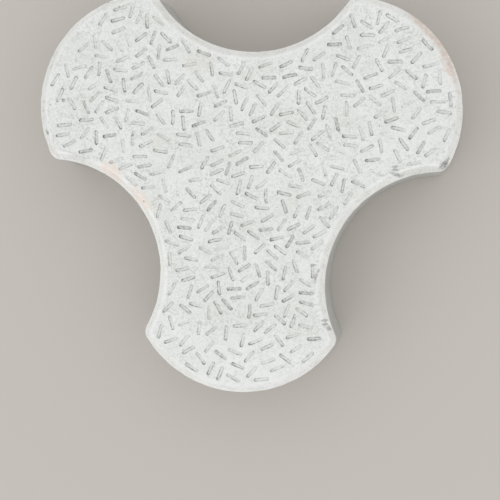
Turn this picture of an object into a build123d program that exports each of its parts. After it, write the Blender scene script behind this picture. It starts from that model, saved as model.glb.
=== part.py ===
from build123d import *
from cmath import phase, rect
from math import atan2, cos, degrees, radians, remainder, sin, tan
from random import Random
import os

# Interlocking concrete paving stone, cast in one piece, in millimetres.
# Its outline is a regular hexagon whose sides are replaced by arcs: three bulge
# outwards as lobes, three bend inwards as hollows, turn and turn about. Every arc
# is the same, so a lobe of one stone fills a hollow of the next. Short shallow
# marks are pressed all over the flat of its top face.
# Frame: +Z up, the underside on Z = 0, the origin at the hexagon's centre.
# +Y runs through the middle of a hollow, -Y through the middle of a lobe.

# Outline, at the top of the wall
lobe_count = 3
side_length = 125.0           # of the hexagon, from tip to tip: the chord of every arc
arc_angle = 120.0             # how far each lobe and each hollow turns
hollow_direction = 90.0       # where the middle of the first hollow lies

# Height
thickness = 60.0
wall_draft = 1.0              # degrees that the wall leans out, towards the underside

# Edges
chamfer_width = 4.4           # in plan, round the top face
chamfer_drop = 4.0            # how far down the wall it reaches
crest_radius = 3.0            # rounds the chamfer into the top face
shoulder_radius = 2.0         # rounds the chamfer into the wall
arris_break = 1.0             # worn edge round the underside

# Tips, rounded in plan where a lobe meets a hollow
flat_tip_radius = 2.5         # where the flat of the top face ends, inside the rounded crest
crest_width = crest_radius * tan(atan2(chamfer_drop, chamfer_width) / 2)
tip_radius = flat_tip_radius + crest_width + chamfer_width

# Marks pressed into the flat of the top face
mark_length = 9.8
mark_width = 2.6
mark_depth = 0.75
mark_lean = 35.0              # degrees from upright at which their sides slope
mark_gap = 0.75               # least plain face between two of them
mark_border = 0.3             # least plain flat between them and the crest
mark_tip_clearance = 11.0     # from the hexagon's tips
mark_headings = (8.0, 24.0, 43.0, 68.0, -80.0, -46.0, -14.0)
mark_heading_spread = 8.0

# How the marks are spread
seed = 11
pitch = 8.2                   # one mark is tried for each square of this side
choices = 14                  # places thought up for it, of which the freest is taken
turn_bonus = 1.6              # how much more room a neighbour lying across seems to leave
sweeps = 12                   # rounds of small shifts towards more room
shift_spread = 0.9
turn_spread = 5.0

# The hexagon
side_count = 2 * lobe_count
half_step = 180.0 / side_count
tip_distance = side_length / 2 / sin(radians(half_step))
side_distance = side_length / 2 / tan(radians(half_step))
arc_height = side_length / 2 * tan(radians(arc_angle / 4))
arc_radius = side_length / 2 / sin(radians(arc_angle / 2))
face_area = side_count * side_length * side_distance / 2
try_count = round(face_area / pitch ** 2)

level_tolerance = 0.01        # how near to a height an edge counts as level with it


def around(distance, angle):
    """Point at a distance and an angle from the hexagon's centre."""
    return Vector(distance * cos(radians(angle)), distance * sin(radians(angle)))


def side_arc(direction, bulges):
    """One side of the hexagon, bent outwards as a lobe or inwards as a hollow."""
    start = around(tip_distance, direction - half_step)
    end = around(tip_distance, direction + half_step)
    middle_distance = side_distance + arc_height if bulges else side_distance - arc_height
    return ThreePointArc(start, around(middle_distance, direction), end)


def outline():
    """The stone's plan, with lobes and hollows by turns and its tips rounded."""
    arcs = []
    for number in range(side_count):
        direction = hollow_direction + number * 2 * half_step
        arcs.append(side_arc(direction, bulges=number % 2 == 1))
    plan = make_face(arcs)
    return fillet(plan.vertices(), radius=tip_radius)


def cast_body():
    """The plain stone, drawn at its top and widening with the draft to its underside."""
    plan = Pos(0, 0, thickness) * outline()
    return extrude(plan, amount=thickness, dir=(0, 0, -1), taper=-wall_draft)


def level_edges(stone, height):
    """The ring of edges that lies level at one height."""
    return stone.edges().filter_by_position(Axis.Z, height - level_tolerance, height + level_tolerance)


def ease_edges(stone):
    """Chamfer the top face, round both edges of the chamfer and break the lower arris."""
    top_face = stone.faces().sort_by(Axis.Z)[-1]
    stone = chamfer(top_face.edges(), length=chamfer_width, length2=chamfer_drop, reference=top_face)
    stone = fillet(level_edges(stone, thickness), radius=crest_radius)
    stone = fillet(level_edges(stone, thickness - chamfer_drop), radius=shoulder_radius)
    return chamfer(level_edges(stone, 0.0), length=arris_break)


def face_depth(place):
    """How far inside the outline a place of the plan lies, as a complex number."""
    depths = []
    for number in range(side_count):
        direction = hollow_direction + number * 2 * half_step
        abreast = abs(remainder(degrees(phase(place)) - direction, 360.0)) <= half_step
        forward = (place * rect(1.0, -radians(direction))).real
        bulges = number % 2 == 1
        bend = arc_height - arc_radius if bulges else arc_radius - arc_height
        centre_distance = side_distance + bend
        reach = abs(place - rect(centre_distance, radians(direction)))
        if not bulges:
            depths.append(reach - arc_radius)
            if abreast:
                depths.append(side_distance - forward)
        elif abreast and forward > centre_distance:
            depths.append(arc_radius - reach)
    return min(depths)


def distance_to(place, start, end):
    """Distance from a place to a straight stretch."""
    run = end - start
    share = ((place - start) * run.conjugate()).real / abs(run) ** 2
    return abs(place - start - run * min(max(share, 0.0), 1.0))


def side_of(place, start, end):
    """On which side of a line a place lies: positive on its left."""
    return ((end - start).conjugate() * (place - start)).imag


class Mark:
    """One pressed mark: its middle as a complex number and its heading in degrees."""

    def __init__(self, middle, heading):
        self.middle = middle
        self.heading = heading
        half_run = rect((mark_length - mark_width) / 2, radians(heading))
        self.ends = (middle - half_run, middle + half_run)

    def crosses(self, other):
        """Whether the middle lines of two marks cross."""
        mine = side_of(self.ends[0], *other.ends) * side_of(self.ends[1], *other.ends)
        theirs = side_of(other.ends[0], *self.ends) * side_of(other.ends[1], *self.ends)
        return mine < 0 and theirs < 0

    def gap(self, other):
        """Plain face left between two marks, negative where they meet."""
        if self.crosses(other):
            return -mark_width
        reaches = [distance_to(end, *other.ends) for end in self.ends]
        reaches += [distance_to(end, *self.ends) for end in other.ends]
        return min(reaches) - mark_width

    def fits(self):
        """Whether the mark lies wholly on the flat of the top face."""
        least_depth = chamfer_width + crest_width + mark_border + mark_width / 2
        tips = [rect(tip_distance, radians(hollow_direction + (2 * number + 1) * half_step))
                for number in range(side_count)]
        for place in (self.middle, *self.ends):
            if face_depth(place) < least_depth:
                return False
            if min(abs(place - tip) for tip in tips) < mark_tip_clearance:
                return False
        return True


class MarkField:
    """Marks spread evenly over the face, none of them touching another."""

    def __init__(self):
        self.random = Random(seed)
        self.marks = []
        for _ in range(try_count):
            freest = max([self.draw() for _ in range(choices)], key=self.room)
            if self.room(freest) >= mark_gap:
                self.marks.append(freest)
        for _ in range(sweeps):
            for number in range(len(self.marks)):
                self.ease(number)

    def draw(self):
        """Think up a mark anywhere on the face."""
        reach = side_distance + arc_height
        while True:
            middle = complex(self.random.uniform(-reach, reach), self.random.uniform(-reach, reach))
            mark = Mark(middle, self.random.gauss(self.random.choice(mark_headings), mark_heading_spread))
            if mark.fits():
                return mark

    def room(self, mark, own_number=None):
        """The least gap to another mark, counted larger beside one that lies across."""
        least = mark_length
        for number, other in enumerate(self.marks):
            if number != own_number and abs(other.middle - mark.middle) < 2 * mark_length:
                gap = mark.gap(other)
                if gap < mark_gap:
                    return gap
                across = abs(sin(radians(mark.heading - other.heading)))
                least = min(least, gap + turn_bonus * across)
        return least

    def ease(self, number):
        """Shift and turn one mark a little where that leaves it more room."""
        mark = self.marks[number]
        shift = complex(self.random.gauss(0, shift_spread), self.random.gauss(0, shift_spread))
        moved = Mark(mark.middle + shift, mark.heading + self.random.gauss(0, turn_spread))
        if moved.fits() and self.room(moved, number) > self.room(mark, number):
            self.marks[number] = moved


def mark_tool():
    """What presses one mark, at the origin: a block that narrows downwards."""
    inset = mark_depth * tan(radians(mark_lean))
    block = Wedge(mark_length, mark_depth, mark_width, inset, inset, mark_length - inset, mark_width - inset,
                  align=(Align.CENTER, Align.MIN, Align.CENTER))
    return Rot(-90, 0, 0) * block


def press_marks(stone):
    """Press the marks into the top face."""
    tool = mark_tool()
    places = [Pos(mark.middle.real, mark.middle.imag, thickness) * Rot(0, 0, mark.heading)
              for mark in MarkField().marks]
    return stone - [place * tool for place in places]


paving_stone = press_marks(ease_edges(cast_body()))

os.makedirs("parts", exist_ok=True)
export_step(paving_stone, "parts/paving_stone.step")
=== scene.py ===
"""The looks of an interlocking concrete paving stone, cast in one piece.

Lengths are in metres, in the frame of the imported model: +Z up, the underside on Z = 0.
"""
import cmath
import logging
import math
import random
from dataclasses import dataclass
from enum import Enum

import bmesh
import bpy
from mathutils import Matrix, Vector, noise


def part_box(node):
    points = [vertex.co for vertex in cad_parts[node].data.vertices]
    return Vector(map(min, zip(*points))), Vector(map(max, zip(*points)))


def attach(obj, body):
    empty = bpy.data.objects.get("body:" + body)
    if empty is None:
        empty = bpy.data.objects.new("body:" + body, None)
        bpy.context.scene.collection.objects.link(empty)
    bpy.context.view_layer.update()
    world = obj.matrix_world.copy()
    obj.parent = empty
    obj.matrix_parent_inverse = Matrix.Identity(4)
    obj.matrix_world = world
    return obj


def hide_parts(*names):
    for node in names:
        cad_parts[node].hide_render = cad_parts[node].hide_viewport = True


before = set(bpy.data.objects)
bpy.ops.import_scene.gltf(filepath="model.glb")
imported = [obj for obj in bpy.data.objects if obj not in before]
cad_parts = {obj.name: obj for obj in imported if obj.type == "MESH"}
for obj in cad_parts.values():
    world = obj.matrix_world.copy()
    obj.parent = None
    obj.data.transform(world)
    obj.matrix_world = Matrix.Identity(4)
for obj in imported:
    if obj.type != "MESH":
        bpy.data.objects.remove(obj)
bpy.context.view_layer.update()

MM = 0.001
SAME_LEVEL = 1e-7     # how near two heights count as one
NODE = "paving_stone"
LOG = logging.getLogger("paving_stone_looks")


class Surface(Enum):
    """The three surfaces of the stone, by the number of their material slot."""

    FACE = 0
    WALL = 1
    BED = 2


class Layer(Enum):
    """The values that the mesh carries from point to point, by name."""

    OUTWARD = "outward"
    # Real dirt, and painted shade in the marks and the air holes
    GRIME = "grime"
    LIP = "lip"
    BAND = "band"


def add_layers(bm: bmesh.types.BMesh) -> None:
    """Give an empty mesh the values that it carries."""
    bm.verts.layers.float_vector.new(Layer.OUTWARD.value)
    for layer in (Layer.GRIME, Layer.LIP, Layer.BAND):
        bm.verts.layers.float.new(layer.value)


def polar(distance: float, angle: float) -> Vector:
    """Point on the level, at a distance and an angle from the stone's middle."""
    return Vector((distance * math.cos(angle), distance * math.sin(angle), 0.0))


def blend(low: float, high: float, value: float) -> float:
    """Rise smoothly from 0 to 1 while a value goes from low to high."""
    share = min(max((value - low) / (high - low), 0.0), 1.0)
    return share * share * (3.0 - 2.0 * share)


@dataclass(frozen=True)
class Bumps:
    """Smooth noise with bumps of one size, and the spots where it is high."""

    size: float
    seed: float = 0.0
    low: float = 0.0
    high: float = 1.0

    def at(self, place: Vector, seed: float = 0.0) -> float:
        """Read the noise.

        Args:
            place: Where it is read.
            seed: Moves the noise, on top of its own seed.

        Returns:
            Its value, between 0 and 1.
        """
        moved = self.seed + seed
        return 0.5 + 0.5 * noise.noise(place / self.size + Vector((moved, -moved, 0.5 * moved)))

    def spots(self, place: Vector, seed: float = 0.0) -> float:
        """Read the spots: 0 where the noise is below low, 1 where it is above high."""
        return blend(self.low, self.high, self.at(place, seed))


@dataclass(frozen=True)
class Arc:
    """One arc of the outline, walked counter-clockwise round the stone."""

    centre: Vector
    start: Vector
    turn: float
    bulges: bool
    least_steps: int = 6

    def outward(self, point: Vector) -> Vector:
        """Direction out of the stone at a point of the arc."""
        away = (point - self.centre).normalized()
        return away if self.bulges else -away

    def steps(self, spacing: float) -> int:
        """Number of straight pieces that the arc is drawn with."""
        return max(self.least_steps, round((self.start - self.centre).length * abs(self.turn) / spacing))


@dataclass
class Outline:
    """The plan of the stone at the top of its wall: lobes and hollows by turns."""

    side: float
    tip_radius: float
    arc_angle: float = math.radians(120)
    lobe_count: int = 3
    hollow_direction: float = math.radians(90)
    spacing: float = 1.35 * MM
    weld: float = 0.05 * MM

    def __post_init__(self) -> None:
        """Work out the circles that the lobes and the hollows lie on."""
        self.side_count = 2 * self.lobe_count
        self.half_step = math.pi / self.side_count
        self.radius = self.side / 2 / math.sin(self.arc_angle / 2)
        self.side_distance = self.side / 2 / math.tan(self.half_step)
        self.tip_distance = self.side / 2 / math.sin(self.half_step)
        self.arc_height = self.side / 2 * math.tan(self.arc_angle / 4)
        self.centres = [polar(self.centre_distance(number), self.direction(number))
                        for number in range(self.side_count)]

    def bulges(self, number: int) -> bool:
        """Whether a side of the hexagon is a lobe."""
        return number % 2 == 1

    def direction(self, number: int) -> float:
        """Direction of the middle of a side from the middle of the stone."""
        return self.hollow_direction + number * 2 * self.half_step

    def centre_distance(self, number: int) -> float:
        """How far from the middle of the stone the circle of a side has its centre."""
        bend = self.radius - self.arc_height
        return self.side_distance + (-bend if self.bulges(number) else bend)

    def tip(self, number: int) -> Vector:
        """The sharp corner between a side and the next one."""
        return polar(self.tip_distance, self.direction(number) + self.half_step)

    def tip_centre(self, number: int) -> Vector:
        """Middle of the small arc that rounds a tip.

        Args:
            number: The side before the tip.

        Returns:
            The point that is a tip radius inside the lobe and outside the hollow.
        """
        first = self.centres[number % self.side_count]
        second = self.centres[(number + 1) % self.side_count]
        lobe, hollow = (first, second) if self.bulges(number) else (second, first)
        near = self.radius - self.tip_radius
        far = self.radius + self.tip_radius
        span = (hollow - lobe).length
        along = (near ** 2 - far ** 2 + span ** 2) / (2 * span)
        across = math.sqrt(near ** 2 - along ** 2)
        forward = (hollow - lobe) / span
        sideways = Vector((-forward.y, forward.x, 0.0))
        choices = [lobe + forward * along + sideways * across * sign for sign in (1, -1)]
        return min(choices, key=lambda point: (point - self.tip(number)).length)

    def touch(self, number: int, tip: int) -> Vector:
        """Where the arc of a side goes over into the small arc of a tip."""
        centre = self.centres[number % self.side_count]
        return centre + (self.tip_centre(tip) - centre).normalized() * self.radius

    def arcs(self) -> list[Arc]:
        """All the arcs, one after the other, counter-clockwise.

        Returns:
            The small arc of each tip and the arc of the side that follows it.
        """
        arcs = []
        for number in range(self.side_count):
            before = self.touch(number - 1, number - 1)
            start = self.touch(number, number - 1)
            end = self.touch(number, number)
            rounding = self.tip_centre(number - 1)
            arcs.append(Arc(rounding, before, self.turn(rounding, before, start), True))
            centre = self.centres[number]
            arcs.append(Arc(centre, start, self.turn(centre, start, end), self.bulges(number)))
        return arcs

    @staticmethod
    def turn(centre: Vector, start: Vector, end: Vector) -> float:
        """Angle from one point to another round a centre.

        Args:
            centre: The centre.
            start: The first point.
            end: The second point.

        Returns:
            The angle, positive counter-clockwise.
        """
        first = start - centre
        second = end - centre
        return math.atan2(first.x * second.y - first.y * second.x, first.dot(second))

    def depth(self, place: complex) -> float:
        """How far a place lies inside the outline, a little more than that near a tip.

        Args:
            place: A place of the plan, as a complex number.

        Returns:
            The distance to the nearest side, negative outside.
        """
        depths = []
        for number in range(self.side_count):
            direction = self.direction(number)
            abreast = abs(math.remainder(cmath.phase(place) - direction, 2 * math.pi)) <= self.half_step
            forward = (place * cmath.rect(1.0, -direction)).real
            reach = abs(place - cmath.rect(self.centre_distance(number), direction))
            if not self.bulges(number):
                depths.append(reach - self.radius)
                if abreast:
                    depths.append(self.side_distance - forward)
            elif abreast and forward > self.centre_distance(number):
                depths.append(self.radius - reach)
        return min(depths)

    def beside_hollow(self, place: Vector) -> bool:
        """Whether a place near the edge lies beside a hollow rather than a lobe."""
        hollows = (centre for number, centre in enumerate(self.centres) if not self.bulges(number))
        return any((place.xy - centre.xy).length - self.radius < self.tip_radius for centre in hollows)

    def trace(self, bm: bmesh.types.BMesh, offset: float) -> list[bmesh.types.BMEdge]:
        """Draw the outline as one closed ring of edges at height 0.

        Args:
            bm: The mesh that gets the ring.
            offset: How far outside the outline the ring lies.

        Returns:
            The edges of the ring.
        """
        outward = bm.verts.layers.float_vector[Layer.OUTWARD.value]
        bm.verts.ensure_lookup_table()
        first = len(bm.verts)
        last = None
        for arc in self.arcs():
            if last is None:
                last = bm.verts.new(arc.start)
                last[outward] = arc.outward(arc.start)
            count = len(bm.verts)
            spun = bmesh.ops.spin(bm, geom=[last], cent=arc.centre, axis=(0, 0, 1), angle=arc.turn,
                                  steps=arc.steps(self.spacing), use_merge=False, use_duplicate=False)
            last = next(item for item in spun["geom_last"] if isinstance(item, bmesh.types.BMVert))
            bm.verts.ensure_lookup_table()
            for vert in bm.verts[count:]:
                vert[outward] = arc.outward(vert.co)
        ring = bm.verts[first:]
        bmesh.ops.remove_doubles(bm, verts=ring, dist=self.weld)
        ring = [vert for vert in ring if vert.is_valid]
        for vert in ring:
            vert.co += Vector(vert[outward]) * offset
        return list({edge for vert in ring for edge in vert.link_edges})


@dataclass
class Section:
    """The stone's plan, and its section from the underside to the flat of the face."""

    lowest: Vector
    highest: Vector
    wall_draft: float = math.radians(1.0)
    chamfer_width: float = 4.4 * MM
    chamfer_drop: float = 4.0 * MM
    crest_radius: float = 3.0 * MM
    shoulder_radius: float = 2.0 * MM
    arris_break: float = 1.0 * MM
    flat_tip_radius: float = 2.5 * MM
    land_margin: float = 0.15 * MM
    side_digits: int = 4

    def __post_init__(self) -> None:
        """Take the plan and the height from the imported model, its side to a tenth of a millimetre."""
        self.thickness = self.highest.z - self.lowest.z
        self.rise = self.thickness - self.chamfer_drop
        self.incline = math.atan2(self.chamfer_drop, self.chamfer_width)
        self.crest_width = self.crest_radius * math.tan(self.incline / 2)
        self.rim_width = self.chamfer_width + self.crest_width
        turn = math.pi / 2 - self.wall_draft - self.incline
        self.shoulder_width = self.shoulder_radius * math.tan(turn / 2)
        unit = Outline(1.0, 0.0)
        reach = unit.centres[1].length * math.cos(unit.half_step) + unit.radius
        side = round((self.highest.x - self.spread(self.arris_break)) / reach, self.side_digits)
        tip_radius = self.flat_tip_radius + self.crest_width + self.chamfer_width
        self.outline = Outline(side, tip_radius)

    def spread(self, height: float) -> float:
        """How far the wall stands outside the plan at a height."""
        return (self.thickness - height) * math.tan(self.wall_draft)

    def depth(self, place: Vector) -> float:
        """How far a point lies inside the plan."""
        return self.outline.depth(complex(place.x, place.y))


@dataclass
class Mark:
    """One short pressed mark in the face."""

    middle: Vector
    heading: float
    length: float
    width: float
    depth: float
    bend: float
    fade: float
    filled: float
    seed: float

    @property
    def along(self) -> Vector:
        """Direction of the mark's length."""
        return polar(1.0, self.heading)


@dataclass
class Spot:
    """Where one mark lies on the plan, its places as complex numbers and its heading in degrees."""

    middle: complex
    heading: float
    half_run: float

    def __post_init__(self) -> None:
        """Work out the middles of the mark's two ends."""
        reach = cmath.rect(self.half_run, math.radians(self.heading))
        self.ends = (self.middle - reach, self.middle + reach)

    @staticmethod
    def side_of(place: complex, start: complex, end: complex) -> float:
        """On which side of a line a place lies: positive on its left."""
        return ((end - start).conjugate() * (place - start)).imag

    @staticmethod
    def distance_to(place: complex, start: complex, end: complex) -> float:
        """Distance from a place to a straight stretch.

        Args:
            place: The place.
            start: Where the stretch begins.
            end: Where it ends.

        Returns:
            The distance to its nearest point.
        """
        run = end - start
        share = ((place - start) * run.conjugate()).real / abs(run) ** 2
        return abs(place - start - run * min(max(share, 0.0), 1.0))

    def crosses(self, other: "Spot") -> bool:
        """Whether the middle lines of two marks cross.

        Args:
            other: The other mark's place.

        Returns:
            Whether each has its ends on both sides of the other.
        """
        mine = self.side_of(self.ends[0], *other.ends) * self.side_of(self.ends[1], *other.ends)
        theirs = self.side_of(other.ends[0], *self.ends) * self.side_of(other.ends[1], *self.ends)
        return mine < 0 and theirs < 0

    def distance(self, other: "Spot") -> float:
        """Distance between the middle lines of two marks.

        Args:
            other: The other mark's place.

        Returns:
            The distance, 0 where they cross.
        """
        if self.crosses(other):
            return 0.0
        reaches = [self.distance_to(end, *other.ends) for end in self.ends]
        reaches += [self.distance_to(end, *self.ends) for end in other.ends]
        return min(reaches)


@dataclass(frozen=True)
class MarkVariety:
    """How far one mark differs from the next: its length, its width and faint depths as shares."""

    depth: tuple[float, float] = (0.55 * MM, 0.95 * MM)
    faint: float = 0.10
    faint_depth: tuple[float, float] = (0.25, 0.5)
    filled: float = 0.22
    fill: tuple[float, float] = (0.2, 0.5)
    open_fill: tuple[float, float] = (0.03, 0.14)
    length: tuple[float, float] = (0.99, 1.03)
    width: tuple[float, float] = (0.94, 1.05)
    bend: float = 0.16 * MM
    fades: tuple[float, ...] = (0.0, 0.0, 0.1, 0.3)
    last_seed: int = 90


@dataclass
class MarkField:
    """The spread of pressed marks over the face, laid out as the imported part's own marks are."""

    outline: Outline
    edge: float
    length: float = 9.8 * MM
    width: float = 2.6 * MM
    gap: float = 0.75 * MM
    border: float = 0.3 * MM
    tip_clearance: float = 11.0 * MM
    headings: tuple[float, ...] = (8.0, 24.0, 43.0, 68.0, -80.0, -46.0, -14.0)
    heading_spread: float = 8.0
    seed: int = 11
    pitch: float = 8.2 * MM
    choices: int = 14
    turn_bonus: float = 1.6 * MM
    sweeps: int = 12
    shift_spread: float = 0.9 * MM
    turn_spread: float = 5.0
    variety: MarkVariety = MarkVariety()

    def __post_init__(self) -> None:
        """Start with an empty face."""
        self.random = random.Random(self.seed)
        self.spots: list[Spot] = []
        plan = self.outline
        self.tips = [cmath.rect(plan.tip_distance, plan.direction(number) + plan.half_step)
                     for number in range(plan.side_count)]

    def fits(self, spot: Spot) -> bool:
        """Whether a mark lies wholly on the flat of the face.

        Args:
            spot: The mark's place.

        Returns:
            Whether its middle and both ends keep clear of the rim and the tips.
        """
        least_depth = self.edge + self.border + self.width / 2
        for place in (spot.middle, *spot.ends):
            if self.outline.depth(place) < least_depth:
                return False
            if min(abs(place - tip) for tip in self.tips) < self.tip_clearance:
                return False
        return True

    def spot(self, middle: complex, heading: float) -> Spot:
        """A mark's place, with a heading in degrees."""
        return Spot(middle, heading, (self.length - self.width) / 2)

    def draw(self) -> Spot:
        """Think up a place anywhere on the face.

        Returns:
            The first place drawn that fits.
        """
        reach = self.outline.side_distance + self.outline.arc_height
        while True:
            middle = complex(self.random.uniform(-reach, reach), self.random.uniform(-reach, reach))
            heading = self.random.gauss(self.random.choice(self.headings), self.heading_spread)
            spot = self.spot(middle, heading)
            if self.fits(spot):
                return spot

    def room(self, spot: Spot, own_number: int | None = None) -> float:
        """How freely a mark lies among the others.

        Args:
            spot: The mark's place.
            own_number: The mark's own number, where it is laid out already.

        Returns:
            The least gap to another mark, counted larger beside one that lies across.
        """
        least = self.length
        for number, other in enumerate(self.spots):
            if number != own_number and abs(other.middle - spot.middle) < 2 * self.length:
                gap = spot.distance(other) - self.width
                if gap < self.gap:
                    return gap
                across = abs(math.sin(math.radians(spot.heading - other.heading)))
                least = min(least, gap + self.turn_bonus * across)
        return least

    def ease(self, number: int) -> None:
        """Shift and turn one mark a little where that leaves it more room.

        Args:
            number: The mark's number.
        """
        spot = self.spots[number]
        shift = complex(self.random.gauss(0, self.shift_spread), self.random.gauss(0, self.shift_spread))
        moved = self.spot(spot.middle + shift, spot.heading + self.random.gauss(0, self.turn_spread))
        if self.fits(moved) and self.room(moved, number) > self.room(spot, number):
            self.spots[number] = moved

    def spread(self) -> list[Mark]:
        """Fill the face evenly, each mark where most room is left.

        Returns:
            The marks, none of them touching another.
        """
        area = self.outline.side_count * self.outline.side * self.outline.side_distance / 2
        for _ in range(round(area / self.pitch ** 2)):
            freest = max([self.draw() for _ in range(self.choices)], key=self.room)
            if self.room(freest) >= self.gap:
                self.spots.append(freest)
        for _ in range(self.sweeps):
            for number in range(len(self.spots)):
                self.ease(number)
        return [self.shape(spot) for spot in self.spots]

    def shape(self, spot: Spot) -> Mark:
        """Give one mark its own size, depth and fill of dirt.

        Args:
            spot: The mark's place.

        Returns:
            The mark.
        """
        pick, own = self.random, self.variety
        faint = pick.random() < own.faint
        depth = pick.uniform(*own.depth) * (pick.uniform(*own.faint_depth) if faint else 1.0)
        filled = pick.uniform(*(own.fill if pick.random() < own.filled else own.open_fill))
        return Mark(
            middle=Vector((spot.middle.real, spot.middle.imag, 0.0)),
            heading=math.radians(spot.heading),
            length=self.length * pick.uniform(*own.length),
            width=self.width * pick.uniform(*own.width),
            depth=depth,
            bend=pick.gauss(0.0, own.bend),
            fade=pick.choice(own.fades),
            filled=filled,
            seed=pick.uniform(0, own.last_seed),
        )


@dataclass(frozen=True)
class MarkDirtAndShade:
    """The dirt and painted shade in a mark: a broken dark line along its foot, and a film on its floor.

    Both are stronger in the end and along the side that the light reaches least; that part is painted shade.
    """

    toward_shaded_wall: tuple[float, float] = (-0.6, -0.8)
    end_reach: tuple[float, float] = (0.30, 0.48)
    shaded_end_line: float = 0.45
    shaded_end_film: float = 0.55
    film_on_sides: float = 0.8
    breaks: Bumps = Bumps(2.2 * MM, 40.0, 0.36, 0.62)
    break_range: tuple[float, float] = (0.22, 1.25)
    far_side: Bumps = Bumps(4.0 * MM, 60.0, 0.36, 0.62)
    far_side_range: tuple[float, float] = (0.12, 0.48)
    depth_reach: tuple[float, float] = (0.05 * MM, 0.6 * MM)

    def at(self, mark: Mark, point: Vector, settled: float) -> float:
        """Dirt and painted shade at one place of a mark.

        Args:
            mark: The mark.
            point: The place.
            settled: Share of the line's dirt and painted shade that this step of the section holds, 0 on the
                floor.

        Returns:
            The dirt and painted shade, less in a shallow mark.
        """
        # Painted shade: darker towards the wall and the end on the key light's side, which face away from the
        # light
        toward_shaded_wall = Vector((*self.toward_shaded_wall, 0.0))
        spoke = point - mark.middle
        along = spoke.dot(mark.along)
        across = spoke - mark.along * along
        side = 0.5 + 0.5 * across.dot(toward_shaded_wall) / (mark.width / 2)
        end = blend(*self.end_reach, math.copysign(along, along * mark.along.dot(toward_shaded_wall)) / mark.length)
        broken = self.break_range[0] + self.break_range[1] * self.breaks.spots(point, mark.seed)
        far = self.far_side_range[0] + self.far_side_range[1] * self.far_side.spots(mark.middle)
        line = settled * (far + (1.0 - far) * side * side + self.shaded_end_line * end) * broken
        film = (mark.filled + self.shaded_end_film * end) * (1.0 if settled == 0.0 else self.film_on_sides)
        return max(line, film) * blend(*self.depth_reach, mark.depth)


@dataclass(frozen=True)
class Step:
    """One step inwards of a mark's section.

    The inset is in metres; how deep it is sunk and how much dirt and painted shade it holds are shares of the
    whole.
    """

    inset: float
    sunk: float
    settled: float


@dataclass
class MarkCutter:
    """Presses marks into a flat face, each a shallow trough with rounded ends."""

    level: float
    end_segments: int = 12
    side_cuts: int = 2
    wobble: float = 0.20 * MM
    wobble_size: float = 1.6 * MM
    wobble_seed: int = 11
    # The settled shares paint dirt and shade darkest down the slope and at the foot of each mark
    rim: Step = Step(0.12 * MM, 0.07, 0.45)
    slope: Step = Step(0.26 * MM, 0.72, 1.0)
    foot: Step = Step(0.14 * MM, 1.0, 0.95)
    floor: Step = Step(0.20 * MM, 0.88, 0.0)
    fade_from: float = 0.35
    uneven: Bumps = Bumps(2.2 * MM)
    uneven_range: tuple[float, float] = (0.72, 0.45)
    # Dirt and painted shade in the marks
    dirt: MarkDirtAndShade = MarkDirtAndShade()

    def press(self, bm: bmesh.types.BMesh, marks: list[Mark]) -> list[bmesh.types.BMEdge]:
        """Build all the marks.

        Args:
            bm: The mesh that gets them.
            marks: Where they lie and what size they are.

        Returns:
            The edges round their mouths.
        """
        sheet = bmesh.new()
        add_layers(sheet)
        grime = sheet.verts.layers.float[Layer.GRIME.value]
        # Seeded, because the noise vectors would otherwise differ from run to run
        noise.seed_set(self.wobble_seed)
        caps = [self.mouth(sheet, mark) for mark in marks]
        for step in (self.rim, self.slope, self.foot, self.floor):
            bmesh.ops.inset_individual(sheet, faces=caps, thickness=step.inset, depth=0.0,
                                       use_even_offset=True)
            for cap, mark in zip(caps, marks):
                for vert in cap.verts:
                    share = self.share(mark, vert.co)
                    vert.co.z = self.level - mark.depth * step.sunk * share
                    # Dirt and painted shade at this step of the mark
                    vert[grime] = self.dirt.at(mark, vert.co, step.settled) * min(share, 1.0)
        pressed = bpy.data.meshes.new("pressed_marks")
        sheet.to_mesh(pressed)
        sheet.free()
        bm.edges.ensure_lookup_table()
        count = len(bm.edges)
        bm.from_mesh(pressed)
        bpy.data.meshes.remove(pressed)
        bm.edges.ensure_lookup_table()
        return [edge for edge in bm.edges[count:] if edge.is_boundary]

    def share(self, mark: Mark, point: Vector) -> float:
        """Share of a mark's full depth that one place of it has.

        Args:
            mark: The mark.
            point: The place.

        Returns:
            The share, less where the mark fades and uneven all over.
        """
        place = (point - mark.middle).dot(mark.along) / mark.length + 0.5
        faded = 1.0 - mark.fade * blend(self.fade_from, 1.0, place)
        return faded * (self.uneven_range[0] + self.uneven_range[1] * self.uneven.at(point, mark.seed))

    def mouth(self, bm: bmesh.types.BMesh, mark: Mark) -> bmesh.types.BMFace:
        """Draw the mouth of one mark, a circle pulled out long.

        Args:
            bm: The mesh that gets it.
            mark: The mark.

        Returns:
            The face inside the mouth.
        """
        circle = bmesh.ops.create_circle(
            bm, cap_ends=False, radius=mark.width / 2, segments=self.end_segments,
            matrix=Matrix.Rotation(math.pi / self.end_segments, 4, "Z"))
        for vert in circle["verts"]:
            vert.co.x += math.copysign((mark.length - mark.width) / 2, vert.co.x)
        ring = {edge for vert in circle["verts"] for edge in vert.link_edges}
        sides = [edge for edge in ring if edge.calc_length() > mark.width]
        cut = bmesh.ops.subdivide_edges(bm, edges=sides, cuts=self.side_cuts)["geom"]
        ring.update(item for item in cut if isinstance(item, bmesh.types.BMEdge))
        cap = bmesh.ops.contextual_create(bm, geom=list(ring))["faces"][0]
        turned = Matrix.Rotation(mark.heading, 4, "Z")
        for vert in cap.verts:
            vert.co.y += mark.bend * (1.0 - (2.0 * vert.co.x / mark.length) ** 2)
            ragged = noise.noise_vector(vert.co / self.wobble_size + Vector((mark.seed, 0.0, 0.0)))
            vert.co += Vector((ragged.x, ragged.y, 0.0)) * self.wobble
            vert.co = mark.middle + turned @ vert.co
            vert.co.z = self.level
        if cap.normal.z < 0:
            cap.normal_flip()
        return cap


@dataclass(frozen=True)
class HoleRing:
    """One ring of an air hole: its width and depth as shares of the hole's radius, and its painted shade,
    darker the deeper the ring lies.
    """

    width: float
    sunk: float
    grime: float


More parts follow.
